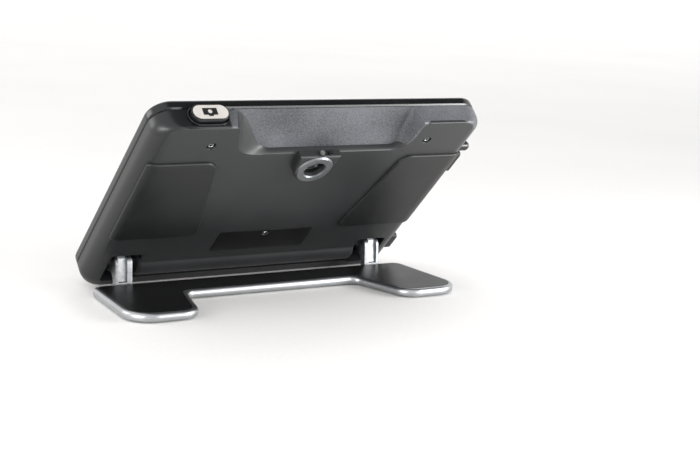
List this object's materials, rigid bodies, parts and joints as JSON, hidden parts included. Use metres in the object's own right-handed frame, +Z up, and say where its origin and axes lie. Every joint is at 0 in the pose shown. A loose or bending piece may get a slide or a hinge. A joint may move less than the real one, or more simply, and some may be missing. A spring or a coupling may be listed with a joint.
{
  "type": "video magnifier",
  "caption": "Tablet video magnifier leaning over a folding U-shaped reading stand, with a rear camera ring, grip pads and push keys.",
  "frame": {"origin": "middle of the whole object's footprint, on the surface it stands on, with the stand open", "axes": "+Z up; +X across the tablet, to the right as seen from behind it; -Y the way the tablet leans, over the open side of the stand; the reader sits on the +Y side"},
  "size_m": [0.225, 0.1294, 0.1265],
  "materials": {
    "satin_silver_casting": "satin",
    "black_inlay": "satin",
    "bare_casting": "rough cast",
    "screw_steel": "satin",
    "bezel_plastic": "semi-gloss",
    "textured_housing": "fine sand texture",
    "cover_plastic": "satin",
    "pad_rubber": "soft matte",
    "label_film": "satin film",
    "black_screw": "black oxide",
    "display_glass": "polished",
    "panel": "satin",
    "frame_metal": "satin",
    "ring_metal": "bead blasted, dark anodised",
    "lens_glass": "polished",
    "black_plastic": "matte",
    "light_lens": "clear",
    "board": "solder mask",
    "battery_wrap": "foil",
    "capture_plastic": "satin",
    "key_rubber": "matte",
    "yellow_key": "satin",
    "blue_key": "satin",
    "foot_rubber": "matte"
  },
  "bodies": {
    "stand": {"stand_plate": "satin_silver_casting", "stand_inlay": "black_inlay", "stand_foot_front_left": "foot_rubber", "stand_foot_front_right": "foot_rubber", "stand_foot_back_left": "foot_rubber", "stand_foot_back_right": "foot_rubber", "hinge_arm_left": "bare_casting", "hinge_arm_right": "bare_casting", "arm_screw_left": "screw_steel", "arm_screw_right": "screw_steel"},
    "tablet": {"front_bezel": "bezel_plastic", "rear_housing": "textured_housing", "rear_cover": "cover_plastic", "grip_pad_left": "pad_rubber", "grip_pad_right": "pad_rubber", "rating_label": "label_film", "cover_screw_left": "black_screw", "cover_screw_right": "black_screw", "cover_screw_bottom": "black_screw", "display_glass": "display_glass", "lcd_panel": "panel", "chassis_frame": "frame_metal", "camera_boss": "cover_plastic", "camera_ring": "ring_metal", "near_camera_lens": "lens_glass", "near_camera_module": "black_plastic", "distance_camera_lens": "lens_glass", "reading_light_lens": "light_lens", "main_board": "board", "battery_pack": "battery_wrap", "speaker": "black_plastic", "capture_switch": "black_plastic", "capture_surround": "ring_metal", "usb_c_socket": "frame_metal", "headphone_jack": "black_plastic", "hinge_pin_left": "screw_steel", "hinge_pin_right": "screw_steel", "friction_clutch_left": "screw_steel", "friction_clutch_right": "screw_steel"},
    "capture_button": {"capture_button": "capture_plastic"},
    "power_button": {"power_button": "cover_plastic"},
    "upper_side_key": {"upper_side_key": "key_rubber"},
    "lower_side_key": {"lower_side_key": "key_rubber"},
    "zoom_in_key": {"zoom_in_key": "yellow_key"},
    "mode_key": {"mode_key": "blue_key"},
    "zoom_out_key": {"zoom_out_key": "yellow_key"}
  },
  "joints": [
    {"name": "stand_hinge", "type": "hinge", "parent": "stand", "child": "tablet", "pos_m": [0, 0.0414, 0.0176], "axis": [1, 0, 0], "range_deg": [0, 45]},
    {"name": "capture_press", "type": "slide", "parent": "tablet", "child": "capture_button", "axis": [0, 0.7071, -0.7071], "range_m": [0, 0.001], "stiffness_N_per_m": 600},
    {"name": "power_press", "type": "slide", "parent": "tablet", "child": "power_button", "axis": [-1, 0, 0], "range_m": [0, 0.001], "stiffness_N_per_m": 600},
    {"name": "upper_key_press", "type": "slide", "parent": "tablet", "child": "upper_side_key", "axis": [-1, 0, 0], "range_m": [0, 0.0008], "stiffness_N_per_m": 500},
    {"name": "lower_key_press", "type": "slide", "parent": "tablet", "child": "lower_side_key", "axis": [-1, 0, 0], "range_m": [0, 0.0008], "stiffness_N_per_m": 500},
    {"name": "zoom_in_press", "type": "slide", "parent": "tablet", "child": "zoom_in_key", "axis": [0, -0.7071, -0.7071], "range_m": [0, 0.0009], "stiffness_N_per_m": 500},
    {"name": "mode_press", "type": "slide", "parent": "tablet", "child": "mode_key", "axis": [0, -0.7071, -0.7071], "range_m": [0, 0.0009], "stiffness_N_per_m": 500},
    {"name": "zoom_out_press", "type": "slide", "parent": "tablet", "child": "zoom_out_key", "axis": [0, -0.7071, -0.7071], "range_m": [0, 0.0009], "stiffness_N_per_m": 500}
  ]
}
